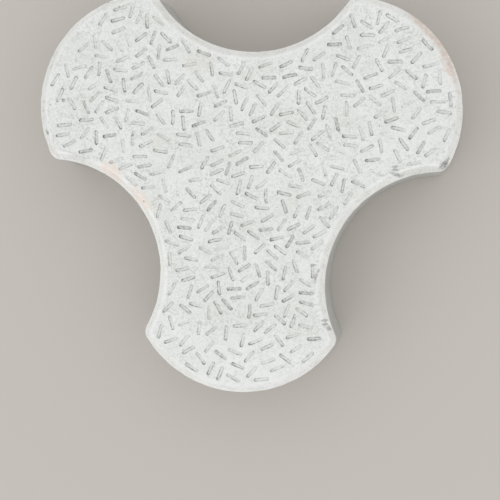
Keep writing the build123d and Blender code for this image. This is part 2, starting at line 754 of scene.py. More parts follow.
@dataclass
class AirHoles:
    """The small holes that air left in the wall, against the mould."""

    section: Section
    count: int = 60
    seed: int = 5
    apart: float = 8.0 * MM
    foot_margin: float = 4.0 * MM
    top_margin: float = 8.0 * MM
    radii: tuple[float, float] = (0.35 * MM, 0.95 * MM)
    inset: float = 0.12 * MM
    rings: tuple[HoleRing, ...] = (HoleRing(1.0, 0.0, 0.2), HoleRing(0.8, 0.5, 0.7), HoleRing(0.45, 0.9, 1.0))
    place_digits: int = 5

    def open(self, bm: bmesh.types.BMesh) -> None:
        """Open all the holes, each round one corner of the wall's net.

        Args:
            bm: The mesh, with its wall.
        """
        outward = bm.verts.layers.float_vector[Layer.OUTWARD.value]
        pick = random.Random(self.seed)
        top = self.section.thickness - self.top_margin
        places = [vert for vert in bm.verts if self.foot_margin < vert.co.z < top
                  and len(vert.link_faces) == 4
                  and all(len(face.verts) == 4 for face in vert.link_faces)]
        # In a fixed order, so that each run draws the same places
        places.sort(key=lambda vert: [round(value, self.place_digits) for value in vert.co])
        taken: list[Vector] = []
        for vert in pick.sample(places, len(places)):
            if len(taken) >= self.count:
                break
            if any((vert.co - other).length < self.apart for other in taken):
                continue
            taken.append(vert.co.copy())
            away = Vector(vert[outward])
            corners = [corner for face in vert.link_faces for corner in face.verts if corner is not vert]
            bmesh.ops.dissolve_verts(bm, verts=[vert], use_face_split=False, use_boundary_tear=False)
            face = next(face for face in corners[0].link_faces
                        if all(corner in face.verts for corner in corners))
            self.sink(bm, face, taken[-1], away, pick.uniform(*self.radii))

    def sink(self, bm: bmesh.types.BMesh, face: bmesh.types.BMFace, middle: Vector, away: Vector,
             radius: float) -> None:
        """Sink one face of the wall into a round hole.

        Args:
            bm: The mesh.
            face: The face.
            middle: The middle of the hole, on the wall.
            away: Direction out of the wall.
            radius: The hole's radius.
        """
        grime = bm.verts.layers.float[Layer.GRIME.value]
        for ring in self.rings:
            bmesh.ops.inset_individual(bm, faces=[face], thickness=self.inset, depth=0.0,
                                       use_even_offset=True)
            for corner in face.verts:
                spoke = corner.co - middle
                spoke -= away * spoke.dot(away)
                corner.co = middle + spoke.normalized() * radius * ring.width - away * radius * ring.sunk
                # Painted shade inside the hole, darker deeper in
                corner[grime] = ring.grime


@dataclass(frozen=True)
class Waves:
    """Unevenness of broad waves and small ones together."""

    height: float
    broad: Bumps
    small: Bumps
    small_share: float

    def at(self, place: Vector) -> float:
        """How deep the unevenness is at a place."""
        mixed = self.broad.at(place) * (1.0 - self.small_share) + self.small.at(place) * self.small_share
        return self.height * mixed


@dataclass(frozen=True)
class Damage:
    """A place where the edge of the stone is knocked or rubbed away."""

    place: tuple[float, float, float]
    reach: float
    bite: float
    dirt: float
    fade_from: float = 0.3
    ragged: Bumps = Bumps(1.7 * MM, 21.0, 0.25, 0.6)

    def hit(self, place: Vector) -> float:
        """How strongly the damage hits a place, from 0 to 1."""
        distance = (place - Vector(self.place)).length / self.reach
        return (1.0 - blend(self.fade_from, 1.0, distance)) * self.ragged.spots(place)


@dataclass
class Wear:
    """What takes the ruled look off: waves, rubbed edges and knocks, all of them inwards."""

    section: Section
    wall: Waves = Waves(0.28 * MM, Bumps(34 * MM), Bumps(9 * MM, 3.0), 0.4)
    face: Waves = Waves(0.12 * MM, Bumps(22 * MM, 12.0), Bumps(6 * MM, 15.0), 0.3)
    face_reach: float = 4.0 * MM
    bed_height: float = 0.9 * MM
    bed_border: float = 6.0 * MM
    bed_drag: float = 0.35
    bed_ridges: Bumps = Bumps(14 * MM, 30.0)
    bed_lumps: Bumps = Bumps(5 * MM, 33.0)
    bed_lump_share: float = 0.4
    band_foot: float = 3.0 * MM
    band_top: float = 0.8 * MM
    dent_depth: float = 0.2 * MM
    dents: Bumps = Bumps(5.0 * MM, 7.0, 0.5, 0.8)
    streak_grime: float = 0.10
    streak_squeeze: float = 14.0
    streaks: Bumps = Bumps(8.0 * MM, 40.0, 0.5, 0.75)
    shoulder_reach: float = 1.6 * MM
    crest_reach: tuple[float, float] = (0.3 * MM, 1.5 * MM)
    crest_start: float = 0.15 * MM
    crest_least: float = 0.4
    lobe_crest: float = 0.45
    side_only: float = 0.5
    bite_share: float = 0.7
    damages: tuple[Damage, ...] = (
        Damage((125.0 * MM, 4.0 * MM, 58.5 * MM), 5.0 * MM, 0.8 * MM, 0.9),
        Damage((-129.5 * MM, 17.5 * MM, 58.0 * MM), 2.4 * MM, 0.9 * MM, 0.8),
        Damage((95.0 * MM, 1.0 * MM, 58.5 * MM), 3.2 * MM, 0.5 * MM, 0.4),
        Damage((54.5 * MM, -99.0 * MM, 58.5 * MM), 3.0 * MM, 0.5 * MM, 0.35),
        Damage((-128.3 * MM, 60.5 * MM, 57.5 * MM), 4.0 * MM, 0.8 * MM, 0.1),
    )

    def apply(self, bm: bmesh.types.BMesh) -> None:
        """Wear the whole mesh, point by point.

        Args:
            bm: The mesh, whose sides know their direction outwards.
        """
        outward = bm.verts.layers.float_vector[Layer.OUTWARD.value]
        grime = bm.verts.layers.float[Layer.GRIME.value]
        lip = bm.verts.layers.float[Layer.LIP.value]
        band = bm.verts.layers.float[Layer.BAND.value]
        for vert in bm.verts:
            place = vert.co.copy()
            away = Vector(vert[outward])
            on_side = away.length > self.side_only
            if place.z < SAME_LEVEL:
                vert.co.z += self.bed_rise(place)
            elif on_side:
                edge = self.band_share(place.z)
                vert.co -= away * (self.wall.at(place) + self.dent_depth * edge * self.dents.spots(place))
                vert[grime] = max(vert[grime], self.streak(place) * edge)
                vert[band] = edge
                vert[lip] = max(self.shoulder_share(place.z), self.crest_share(place))
            if place.z > self.section.rise - self.face_reach:
                vert.co.z -= self.face.at(place)
            for damage in self.damages:
                hit = damage.hit(place)
                if hit > 0 and on_side:
                    vert.co -= (away + Vector((0, 0, 1))) * damage.bite * hit * self.bite_share
                    vert[grime] = max(vert[grime], damage.dirt * hit)

    def bed_rise(self, place: Vector) -> float:
        """How far the struck underside lies above its lowest level.

        Args:
            place: A point of the underside.

        Returns:
            The rise, 0 along the border.
        """
        drag = Vector((place.x * self.bed_drag, place.y, 0.0))
        ridges = (1.0 - self.bed_lump_share) * self.bed_ridges.at(drag)
        lumps = self.bed_lump_share * self.bed_lumps.at(place) ** 2
        return self.bed_height * (ridges + lumps) * blend(0.0, self.bed_border, self.section.depth(place))

    def band_share(self, height: float) -> float:
        """How much a height belongs to the chamfered band, from 0 to 1."""
        rise, top = self.section.rise, self.section.thickness
        return blend(rise - self.band_foot, rise, height) * (1.0 - blend(top - self.band_top, top, height))

    def streak(self, place: Vector) -> float:
        """Grime in the level streaks that the mould dragged over the chamfer."""
        squeezed = Vector((place.x, place.y, place.z * self.streak_squeeze))
        return self.streak_grime * self.streaks.spots(squeezed)

    def shoulder_share(self, height: float) -> float:
        """How near a height is to the rubbed shoulder, from 0 to 1."""
        return 1.0 - blend(0.0, self.shoulder_reach, abs(height - self.section.rise))

    def crest_share(self, place: Vector) -> float:
        """How near a place of the sides is to the rubbed crest.

        Args:
            place: The place.

        Returns:
            A share from 0 to 1, the most beside a hollow.
        """
        if self.section.depth(place) > self.section.rim_width + self.section.land_margin / 2:
            return 0.0
        below = self.section.thickness - place.z
        worn = 1.0 if self.section.outline.beside_hollow(place) else self.lobe_crest
        started = self.crest_least + (1.0 - self.crest_least) * blend(0.0, self.crest_start, below)
        return worn * (1.0 - blend(*self.crest_reach, below)) * started


@dataclass
class CastStone:
    """The whole stone: pressed face, eased edges, drafted wall and bedding face."""

    section: Section
    wall_row: float = 2.4 * MM
    chamfer_rows: tuple[float, ...] = (0.35, 0.5, 0.62)
    crest_segments: int = 6
    shoulder_segments: int = 4
    bed_cell: float = 4.2 * MM
    bed_weld: float = 0.02 * MM
    face_overlap: float = 0.6 * MM
    wall_foot: float = 0.9 * MM

    def build(self) -> bpy.types.Object:
        """Make the stone as one closed mesh.

        Returns:
            The object, at the origin.
        """
        bm = bmesh.new()
        add_layers(bm)
        land_ring, bed_ring = self.raise_sides(bm)
        AirHoles(self.section).open(bm)
        self.lay_bed(bm, bed_ring)
        marks = MarkField(self.section.outline, self.section.rim_width).spread()
        LOG.info("marks laid out: %d", len(marks))
        mouths = MarkCutter(self.section.thickness).press(bm, marks)
        bmesh.ops.triangle_fill(bm, edges=mouths + land_ring, use_beauty=True, use_dissolve=False,
                                normal=(0, 0, 1))
        Wear(self.section).apply(bm)
        self.name_surfaces(bm)
        bmesh.ops.triangulate(bm, faces=[face for face in bm.faces if len(face.verts) > 4])
        bmesh.ops.recalc_face_normals(bm, faces=bm.faces)
        return self.wrap(bm)

    def extrude_ring(self, bm: bmesh.types.BMesh, ring: list, offset: float, height: float) -> list:
        """Carry a ring of edges outwards and upwards.

        Args:
            bm: The mesh.
            ring: The edges of the last ring.
            offset: Step away from the stone, negative inwards.
            height: Height of the new ring.

        Returns:
            The edges of the new ring.
        """
        outward = bm.verts.layers.float_vector[Layer.OUTWARD.value]
        grown = bmesh.ops.extrude_edge_only(bm, edges=ring)["geom"]
        for vert in (item for item in grown if isinstance(item, bmesh.types.BMVert)):
            vert.co += Vector(vert[outward]) * offset
            vert.co.z = height
        return [item for item in grown if isinstance(item, bmesh.types.BMEdge)
                and all(abs(vert.co.z - height) < SAME_LEVEL and vert in grown for vert in item.verts)]

    def raise_sides(self, bm: bmesh.types.BMesh) -> tuple[list, list]:
        """Build the arris, the wall, the chamfer and the rim of the face.

        Args:
            bm: The mesh.

        Returns:
            The ring at the edge of the flat face and the ring round the underside.
        """
        cut = self.section
        bed_offset = cut.spread(0.0) - cut.arris_break
        bed_ring = cut.outline.trace(bm, bed_offset)
        arris = self.extrude_ring(bm, bed_ring, cut.spread(cut.arris_break) - bed_offset, cut.arris_break)
        shoulder = self.extrude_ring(bm, arris, cut.spread(cut.rise) - cut.spread(cut.arris_break), cut.rise)
        crest = self.extrude_ring(bm, shoulder, -cut.chamfer_width - cut.spread(cut.rise), cut.thickness)
        land = self.extrude_ring(bm, crest, -cut.crest_width - cut.land_margin, cut.thickness)
        for ring, width, segments in ((crest, cut.crest_width, self.crest_segments),
                                      (shoulder, cut.shoulder_width, self.shoulder_segments)):
            bmesh.ops.bevel(bm, geom=ring, offset=width, offset_type="OFFSET", segments=segments, profile=0.5,
                            affect="EDGES", material=-1, clamp_overlap=False, loop_slide=True)
        levels = [cut.arris_break + step * self.wall_row for step in range(1, int(cut.rise / self.wall_row))]
        levels += [cut.rise + cut.chamfer_drop * share for share in self.chamfer_rows]
        for level in levels:
            self.split(bm, bm.faces, 2, level, SAME_LEVEL)
        return land, bed_ring

    @staticmethod
    def split(bm: bmesh.types.BMesh, faces: object, axis: int, level: float, weld: float) -> list:
        """Cut the faces that reach over a level of one axis.

        Args:
            bm: The mesh.
            faces: The faces that may be cut.
            axis: Number of the axis.
            level: Where on the axis the cut lies.
            weld: How near to the cut a point is taken as on it.

        Returns:
            The points, edges and faces that the cut leaves.
        """
        normal = Vector([float(number == axis) for number in range(3)])
        crossed = [face for face in faces if face.is_valid
                   and min(v.co[axis] for v in face.verts) < level < max(v.co[axis] for v in face.verts)]
        geometry = crossed + list({edge for face in crossed for edge in face.edges})
        cut = bmesh.ops.bisect_plane(bm, geom=geometry, dist=weld, plane_co=normal * level, plane_no=normal)
        return cut["geom"]

    def lay_bed(self, bm: bmesh.types.BMesh, ring: list) -> None:
        """Close the underside with a flat net of cells.

        Args:
            bm: The mesh.
            ring: The edges round the underside.
        """
        bed = set(bmesh.ops.contextual_create(bm, geom=ring)["faces"])
        for axis in (0, 1):
            low, high = self.section.lowest[axis], self.section.highest[axis]
            count = round((high - low) / self.bed_cell)
            for step in range(1, count):
                left = self.split(bm, bed, axis, low + (high - low) * step / count, self.bed_weld)
                bed.update(item for item in left if isinstance(item, bmesh.types.BMFace))

    def name_surfaces(self, bm: bmesh.types.BMesh) -> None:
        """Give each face the slot of its surface.

        Args:
            bm: The mesh.
        """
        for face in bm.faces:
            face.smooth = True
            height = face.calc_center_median().z
            if height > self.section.rise - self.face_overlap:
                face.material_index = Surface.FACE.value
            elif height > self.wall_foot:
                face.material_index = Surface.WALL.value
            else:
                face.material_index = Surface.BED.value

    def wrap(self, bm: bmesh.types.BMesh) -> bpy.types.Object:
        """Turn the mesh into an object of the scene and say what it stands for.

        Args:
            bm: The mesh, which is freed.

        Returns:
            The object.
        """
        mesh = bpy.data.meshes.new("cast_stone")
        bm.to_mesh(mesh)
        bm.free()
        stone = bpy.data.objects.new("cast_stone", mesh)
        bpy.context.scene.collection.objects.link(stone)
        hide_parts(NODE)
        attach(stone, "root")
        return stone


Socket = bpy.types.NodeSocket
Colour = tuple[float, float, float]


class Graph:
    """Places nodes in one tree and joins them."""

    def __init__(self, tree: bpy.types.NodeTree) -> None:
        """Work in the node tree of a material or a group."""
        self.tree = tree

    def add(self, kind: str, feeds: dict | None = None, **options: object) -> bpy.types.Node:
        """Add one node.

        Args:
            kind: Blender's name for the type of node.
            feeds: Sockets or plain values for its inputs, by name or number.
            options: Settings of the node itself.

        Returns:
            The node.
        """
        node = self.tree.nodes.new(kind)
        for name, value in options.items():
            setattr(node, name, value)
        for name, value in (feeds or {}).items():
            if isinstance(value, Socket):
                self.tree.links.new(value, node.inputs[name])
            else:
                node.inputs[name].default_value = value
        return node

    def math(self, operation: str, *values: object) -> Socket:
        """Reckon with values, each a socket or a number."""
        return self.add("ShaderNodeMath", dict(enumerate(values)), operation=operation).outputs[0]

    def mixed(self, first: object, second: object, second_share: float) -> Socket:
        """Add two values, weighted by shares that make one whole."""
        return self.math("ADD", self.math("MULTIPLY", first, 1.0 - second_share),
                         self.math("MULTIPLY", second, second_share))

    def noise(self, vector: Socket, size: float, detail: float = 2.0,
              roughness: float = 0.5) -> Socket:
        """Noise whose bumps have a size in the vector's own unit."""
        feeds = {"Vector": vector, "Scale": 1.0 / size, "Detail": detail, "Roughness": roughness}
        return self.add("ShaderNodeTexNoise", feeds).outputs["Fac"]

    def ramp(self, value: Socket, low: object, high: object, start: float = 0.0,
             end: float = 1.0) -> Socket:
        """Carry a value smoothly from the range low to high into the range start to end."""
        feeds = {"Value": value, "From Min": low, "From Max": high, "To Min": start, "To Max": end}
        return self.add("ShaderNodeMapRange", feeds, interpolation_type="SMOOTHSTEP").outputs["Result"]

    def mix(self, share: object, first: object, second: object) -> Socket:
        """Mix two colours.

        Args:
            share: Share of the second one, a socket or a number.
            first: The first colour, a socket or three numbers.
            second: The second colour.

        Returns:
            The mixed colour.
        """
        node = self.add("ShaderNodeMix", {"Factor": share}, data_type="RGBA")
        for name, colour in (("A", first), ("B", second)):
            socket = next(item for item in node.inputs if item.name == name and item.type == "RGBA")
            if isinstance(colour, Socket):
                self.tree.links.new(colour, socket)
            else:
                socket.default_value = (*colour, 1.0)
        return next(item for item in node.outputs if item.type == "RGBA")


class Effect(Enum):
    """The surface effects that the concretes share, each one node group."""

    CLOUDS = "cloudy_tone"
    GRAIN = "sandy_grain"
    PITS = "air_pits"
    PATCH = "ragged_patch"
    GRIME = "settled_grime"


class Effects:
    """Builds the shared node groups and keeps them."""

    def __init__(self) -> None:
        """Build every group once."""
        self.groups = {
            Effect.CLOUDS: self.cloudy_tone(),
            Effect.GRAIN: self.sandy_grain(),
            Effect.PITS: self.air_pits(),
            Effect.PATCH: self.ragged_patch(),
            Effect.GRIME: self.settled_grime(),
        }

    def start(self, effect: Effect, inputs: dict[str, str],
              outputs: tuple[str, ...]) -> tuple[Graph, object, object]:
        """Begin a group.

        Args:
            effect: Which effect it holds.
            inputs: Names of its inputs with their kinds.
            outputs: Names of its outputs, which are all plain values.

        Returns:
            The graph of the group, its inputs' sockets and its output node.
        """
        tree = bpy.data.node_groups.new(effect.value, "ShaderNodeTree")
        for name, kind in inputs.items():
            tree.interface.new_socket(name=name, in_out="INPUT", socket_type="NodeSocket" + kind)
        for name in outputs:
            tree.interface.new_socket(name=name, in_out="OUTPUT", socket_type="NodeSocketFloat")
        graph = Graph(tree)
        return graph, graph.add("NodeGroupInput").outputs, graph.add("NodeGroupOutput")

    def scaled(self, graph: Graph, vector: Socket, size: Socket) -> Socket:
        """Coordinates counted in bumps of a size."""
        per_size = graph.math("DIVIDE", 1.0, size)
        return graph.add("ShaderNodeVectorMath", {0: vector, "Scale": per_size}, operation="SCALE").outputs[0]

    def cloudy_tone(self) -> bpy.types.NodeTree:
        """Broad soft clouds of lighter and darker concrete.

        Returns:
            The group's tree.
        """
        graph, given, result = self.start(Effect.CLOUDS, {"Vector": "Vector", "Size": "Float"}, ("Tone",))
        place = self.scaled(graph, given["Vector"], given["Size"])
        broad = graph.noise(place, size=1.0, detail=3.0, roughness=0.55)
        small = graph.noise(place, size=0.22, detail=4.0, roughness=0.6)
        tone = graph.ramp(graph.mixed(broad, small, 0.4), low=0.34, high=0.66)
        graph.tree.links.new(tone, result.inputs["Tone"])
        return graph.tree

    def sandy_grain(self) -> bpy.types.NodeTree:
        """Fine grain of sand and cement: specks of tone, and a height.

        Returns:
            The group's tree.
        """
        graph, given, result = self.start(Effect.GRAIN, {"Vector": "Vector", "Size": "Float"},
                                          ("Pale", "Dark", "Height"))
        place = self.scaled(graph, given["Vector"], given["Size"])
        fine = graph.noise(place, size=1.0, detail=3.0, roughness=0.65)
        finer = graph.noise(place, size=0.37)
        patchy = graph.ramp(graph.noise(place, size=9.0), low=0.35, high=0.65, start=0.4, end=1.0)
        dark = graph.math("MULTIPLY", graph.ramp(fine, low=0.46, high=0.66), patchy)
        graph.tree.links.new(graph.ramp(finer, low=0.46, high=0.62), result.inputs["Pale"])
        graph.tree.links.new(dark, result.inputs["Dark"])
        graph.tree.links.new(graph.mixed(fine, finer, 0.35), result.inputs["Height"])
        return graph.tree

    def air_pits(self) -> bpy.types.NodeTree:
        """Small round holes that air left in the skin, each with its own radius.

        Returns:
            The group's tree.
        """
        graph, given, result = self.start(
            Effect.PITS, {"Vector": "Vector", "Spacing": "Float", "Radius": "Float"}, ("Pit",))
        place = self.scaled(graph, given["Vector"], given["Spacing"])
        cells = graph.add("ShaderNodeTexVoronoi", {"Vector": place, "Scale": 1.0}, feature="F1")
        own = graph.add("ShaderNodeSeparateColor", {0: cells.outputs["Color"]}).outputs
        radius = graph.math("MULTIPLY", given["Radius"], graph.ramp(own[0], low=0.25, high=1.0))
        floor_radius = graph.math("MULTIPLY", radius, 0.55)
        pit = graph.ramp(cells.outputs["Distance"], low=radius, high=floor_radius)
        graph.tree.links.new(pit, result.inputs["Pit"])
        return graph.tree

    def ragged_patch(self) -> bpy.types.NodeTree:
        """One patch at a named place, ragged at its border and uneven inside.

        Returns:
            The group's tree.
        """
        graph, given, result = self.start(
            Effect.PATCH, {"Vector": "Vector", "Place": "Vector", "Turn": "Float", "Reach": "Vector",
                           "Break": "Float"}, ("Patch",))
        turn = graph.add("ShaderNodeCombineXYZ", {"Z": given["Turn"]}).outputs[0]
        local = graph.add("ShaderNodeMapping", {"Vector": given["Vector"], "Location": given["Place"],
                                                "Rotation": turn, "Scale": given["Reach"]},
                          vector_type="TEXTURE").outputs[0]
        reach = graph.add("ShaderNodeVectorMath", {0: local}, operation="LENGTH").outputs["Value"]
        place = self.scaled(graph, given["Vector"], given["Break"])
        ragged = graph.math("SUBTRACT", graph.noise(place, size=1.0, detail=4.0, roughness=0.6), 0.5)
        reach = graph.math("ADD", reach, graph.math("MULTIPLY", ragged, 1.3))
        inside = graph.noise(place, size=0.45, detail=3.0, roughness=0.6)
        uneven = graph.ramp(inside, low=0.35, high=0.62, start=0.35, end=1.0)
        mask = graph.math("MULTIPLY", graph.ramp(reach, low=1.0, high=0.35), uneven)
        graph.tree.links.new(mask, result.inputs["Patch"])
        return graph.tree

    def settled_grime(self) -> bpy.types.NodeTree:
        """A value that the mesh carries, such as its dirt and painted shade, broken up by noise.

        Returns:
            The group's tree.
        """
        graph, given, result = self.start(
            Effect.GRIME, {"Vector": "Vector", "Amount": "Float", "Break": "Float"}, ("Grime",))
        place = self.scaled(graph, given["Vector"], given["Break"])
        spots = graph.noise(place, size=1.0, detail=3.0, roughness=0.6)
        broken = graph.ramp(spots, low=0.32, high=0.66, start=0.20, end=1.20)
        grime = graph.math("MULTIPLY", given["Amount"], broken)
        graph.tree.links.new(graph.math("MINIMUM", grime, 1.0), result.inputs["Grime"])
        return graph.tree

    def place(self, graph: Graph, effect: Effect, feeds: dict) -> bpy.types.bpy_prop_collection:
        """Place one effect in a material.

        Args:
            graph: The material's graph.
            effect: Which effect.
            feeds: Its inputs, by name.

        Returns:
            The effect's outputs.
        """
        return graph.add("ShaderNodeGroup", feeds, node_tree=self.groups[effect]).outputs


@dataclass(frozen=True)
class Stain:
    """A patch of another colour at one place."""

    place: tuple[float, float, float]
    reach: tuple[float, float, float]
    turn: float
    colour: Colour
    strength: float
    ragged: float
    on_band: bool


@dataclass(frozen=True)
class Grain:
    """The sand and cement in a skin of concrete."""

    size: float
    share: float
    height: float


@dataclass(frozen=True)
class Pits:
    """The fine air holes in a skin of concrete, their radius as a share of their spacing."""

    spacing: float
    radius: float
    depth: float


@dataclass(frozen=True)
class ConcreteFinish:
    """One concrete surface, with all that varies over it."""

    surface: Surface
    colour: Colour
    shade: Colour
    light: Colour
    # Colour of dirt, and of the painted shade in marks, holes and pits
    grime: Colour
    speck: Colour
    cloud_size: float
    grain: Grain
    pits: Pits
    lip_share: float
    roughness: tuple[float, float]
    stains: tuple[Stain, ...] = ()
    grime_break: float = 1.6 * MM
    lip_break: float = 12.0 * MM
    pit_shade_share: float = 0.7
    grime_gloss: float = 0.8
    most_gloss: float = 1.4
    specular: float = 0.35

    def material(self, effects: Effects) -> bpy.types.Material:
        """Build the material.

        Args:
            effects: The shared node groups.

        Returns:
            The material.
        """
        material = bpy.data.materials.new("concrete_" + self.surface.name.lower())
        material.use_nodes = True
        graph = Graph(material.node_tree)
        shader = material.node_tree.nodes["Principled BSDF"]
        vector = graph.add("ShaderNodeTexCoord").outputs["Object"]
        tone = effects.place(graph, Effect.CLOUDS, {"Vector": vector, "Size": self.cloud_size})["Tone"]
        grain = effects.place(graph, Effect.GRAIN, {"Vector": vector, "Size": self.grain.size})
        pit = effects.place(graph, Effect.PITS, {"Vector": vector, "Spacing": self.pits.spacing,
                                                 "Radius": self.pits.radius})["Pit"]
        grime = self.settled(graph, effects, vector, Layer.GRIME, self.grime_break)
        lip = self.settled(graph, effects, vector, Layer.LIP, self.lip_break)
        colour = graph.mix(tone, self.shade, self.colour)
        for mask, share, other in ((grain["Pale"], self.grain.share, self.light),
                                   (grain["Dark"], self.grain.share, self.speck),
                                   (lip, self.lip_share, self.light)):
            colour = graph.mix(graph.math("MULTIPLY", mask, share), colour, other)
        colour = self.stained(graph, effects, vector, colour)
        # Painted shade in the air pits
        colour = graph.mix(graph.math("MULTIPLY", pit, self.pit_shade_share), colour, self.grime)
        # Dirt and painted shade that the mesh carries
        colour = graph.mix(grime, colour, self.grime)
        graph.tree.links.new(colour, shader.inputs["Base Color"])
        gloss = graph.math("ADD", tone, graph.math("MULTIPLY", grime, self.grime_gloss))
        roughness = graph.ramp(gloss, 0.0, self.most_gloss, *self.roughness)
        graph.tree.links.new(roughness, shader.inputs["Roughness"])
        shader.inputs["Specular IOR Level"].default_value = self.specular
        height = graph.math("SUBTRACT", graph.math("MULTIPLY", grain["Height"], self.grain.height),
                            graph.math("MULTIPLY", pit, self.pits.depth))
        bump = graph.add("ShaderNodeBump", {"Height": height, "Distance": 1.0, "Strength": 1.0})
        graph.tree.links.new(bump.outputs["Normal"], shader.inputs["Normal"])
        return material

    @staticmethod
    def settled(graph: Graph, effects: Effects, vector: Socket, layer: Layer,
                break_size: float) -> Socket:
        """A value that the mesh carries, broken up by noise.

        Args:
            graph: The material's graph.
            effects: The shared node groups.
            vector: The coordinates.
            layer: Which value.
            break_size: Size of the breaks.

        Returns:
            The mask.
        """
        amount = graph.add("ShaderNodeAttribute", attribute_name=layer.value).outputs["Fac"]
        feeds = {"Vector": vector, "Amount": amount, "Break": break_size}
        return effects.place(graph, Effect.GRIME, feeds)["Grime"]

    def stained(self, graph: Graph, effects: Effects, vector: Socket,
                colour: Socket) -> Socket:
        """Lay the stains over a colour, one after the other.

        Args:
            graph: The material's graph.
            effects: The shared node groups.
            vector: The coordinates.
            colour: The colour underneath.

        Returns:
            The stained colour.
        """
        band = graph.add("ShaderNodeAttribute", attribute_name=Layer.BAND.value).outputs["Fac"]
        for stain in self.stains:
            feeds = {"Vector": vector, "Place": stain.place, "Turn": stain.turn, "Reach": stain.reach,
                     "Break": stain.ragged}
            patch = effects.place(graph, Effect.PATCH, feeds)["Patch"]
            share = graph.math("MULTIPLY", patch, stain.strength)
            if stain.on_band:
                share = graph.math("MULTIPLY", share, band)
            colour = graph.mix(share, colour, stain.colour)
        return colour


@dataclass(frozen=True)
class Finishes:
    """The three concretes of the stone, with the stains that the photograph shows."""

    pink: Colour = (0.66, 0.50, 0.42)
    blush: Colour = (0.84, 0.73, 0.65)
    soot: Colour = (0.30, 0.30, 0.29)
    beige: Colour = (0.66, 0.62, 0.53)
    dust: Colour = (0.50, 0.505, 0.475)
    lime: Colour = (0.87, 0.88, 0.865)
    cream_wear_and_light: Colour = (0.90, 0.89, 0.85)
    level: float = 58 * MM

    def stain(self, x: float, y: float, along: float, across: float, turn: float, colour: Colour,
              strength: float, height: float = 9.0, ragged: float = 5.0, on_band: bool = False) -> Stain:
        """One stain on the top of the stone, its sizes in millimetres.

        Args:
            x: Its middle, to the right.
            y: Its middle, to the back.
            along: How far it reaches along its length.
            across: How far it reaches across its length.
            turn: The heading of its length, in degrees.
            colour: Its colour.
            strength: Its share of the colour.
            height: How far it reaches up and down.
            ragged: Size of the breaks in its border.
            on_band: Whether it keeps to the chamfered band.

        Returns:
            The stain.
        """
        return Stain((x * MM, y * MM, self.level), (along * MM, across * MM, height * MM), math.radians(turn),
                     colour, strength, ragged * MM, on_band)

    def scrape(self, x: float, y: float, along: float, across: float, turn: float, strength: float,
               ragged: float = 1.2) -> Stain:
        """One dark scrape, scratch or spot."""
        return self.stain(x, y, along, across, turn, self.soot, strength, height=6.0, ragged=ragged)

    def worn_and_lightened_band(self) -> tuple[Stain, ...]:
        """Cream wear and painted light all round the chamfered band, with dust in the back hollow and on the
        left rim.

        Returns:
            The stains, the undermost first.
        """
        return (
            # Partly wear, partly painted light that makes up for the light the sloped band misses
            self.stain(0, 0, 260, 260, 0, self.cream_wear_and_light, 0.34, height=30, ragged=9, on_band=True),
            self.stain(0, 78, 85, 30, 0, self.dust, 0.17, height=12, ragged=3, on_band=True),
            self.stain(-134, 40, 16, 60, 0, self.dust, 0.24, height=12, ragged=6, on_band=True),
            self.stain(-55.5, 95, 12, 5, -45, self.dust, 0.35, height=12, ragged=4, on_band=True),
        )

    def clouds(self) -> tuple[Stain, ...]:
        """Broad faint patches of dust and lime on the face.

        Returns:
            The stains, the undermost first.
        """
        return (
            self.stain(-88, 76, 30, 22, 17.19, self.dust, 0.11, ragged=9),
            self.stain(66, 76, 36, 12, -62, self.dust, 0.11, ragged=9),
            self.stain(-83, 9.6, 9, 6, 0, self.dust, 0.18, height=6, ragged=6),
            self.stain(106, 23, 20, 16, 0, self.lime, 0.35, ragged=9),
            self.stain(-50, -109, 13, 14, 0, self.lime, 0.35, ragged=9),
        )

    def warm_tints(self) -> tuple[Stain, ...]:
        """Pink along the right lobe and the left hollow, and beige spots on the face.

        Returns:
            The stains, the undermost first.
        """
        return (
            self.stain(109, 90, 22, 4.5, -47, self.pink, 0.70),
            self.stain(124, 68, 22, 4.5, -68, self.pink, 0.72),
            self.stain(-85, -7, 12, 6, -40, self.blush, 0.90, height=8, ragged=7),
            self.stain(-66, -23, 14, 5, -50, self.blush, 0.85, height=8, ragged=7),
            self.stain(-31, 64, 14, 9, 20, self.beige, 0.30, height=6),
            self.stain(-58, 11, 8, 6, -40, self.beige, 0.22, height=6),
            self.stain(32, -22.5, 5, 3, 30, self.beige, 0.45, height=4),
        )

    def right_scrapes(self) -> tuple[Stain, ...]:
        """Scrapes on the right lobe, at its tip and beside the right hollow.

        Returns:
            The stains, the undermost first.
        """
        return (
            self.scrape(129.2, 29.5, 4.5, 1.4, 82, 0.35, 1.5),
            self.scrape(123.0, 27.5, 2.6, 2.2, 0, 0.25, 1.5),
            self.scrape(125.4, 6.0, 5.5, 1.5, 62, 0.90, 1.5),
            self.scrape(122.8, 4.5, 5.0, 1.0, 58, 0.55, 1.5),
            self.scrape(93.8, 2.2, 3.2, 1.3, 4, 0.95),
            self.scrape(94.0, 0.2, 3.2, 1.1, 0, 0.90),
            self.scrape(95.0, -2.6, 5.5, 1.6, -14, 0.95),
            self.scrape(61.4, 88.0, 4.0, 0.7, 78, 0.60),
            self.scrape(62.8, 86.6, 2.6, 0.5, -70, 0.40),
        )

    def front_scrapes(self) -> tuple[Stain, ...]:
        """Scrapes on the front lobe, beside the right hollow and at the right tip.

        Returns:
            The stains, the undermost first.
        """
        return (
            self.scrape(47.0, -68.7, 4.0, 1.6, 80, 0.95, 1.5),
            self.scrape(48.4, -64.6, 2.2, 1.3, 75, 0.85),
            self.scrape(45.3, -61.3, 2.8, 1.2, 10, 0.75),
            self.scrape(45.8, -72.0, 9.0, 1.8, -80, 0.22, 1.5),
            self.scrape(53.6, -95.9, 3.4, 1.2, 4, 0.95),
            self.scrape(53.6, -98.2, 3.0, 1.2, 2, 0.90),
            self.scrape(56.4, -100.8, 2.6, 1.9, -50, 0.85),
        )

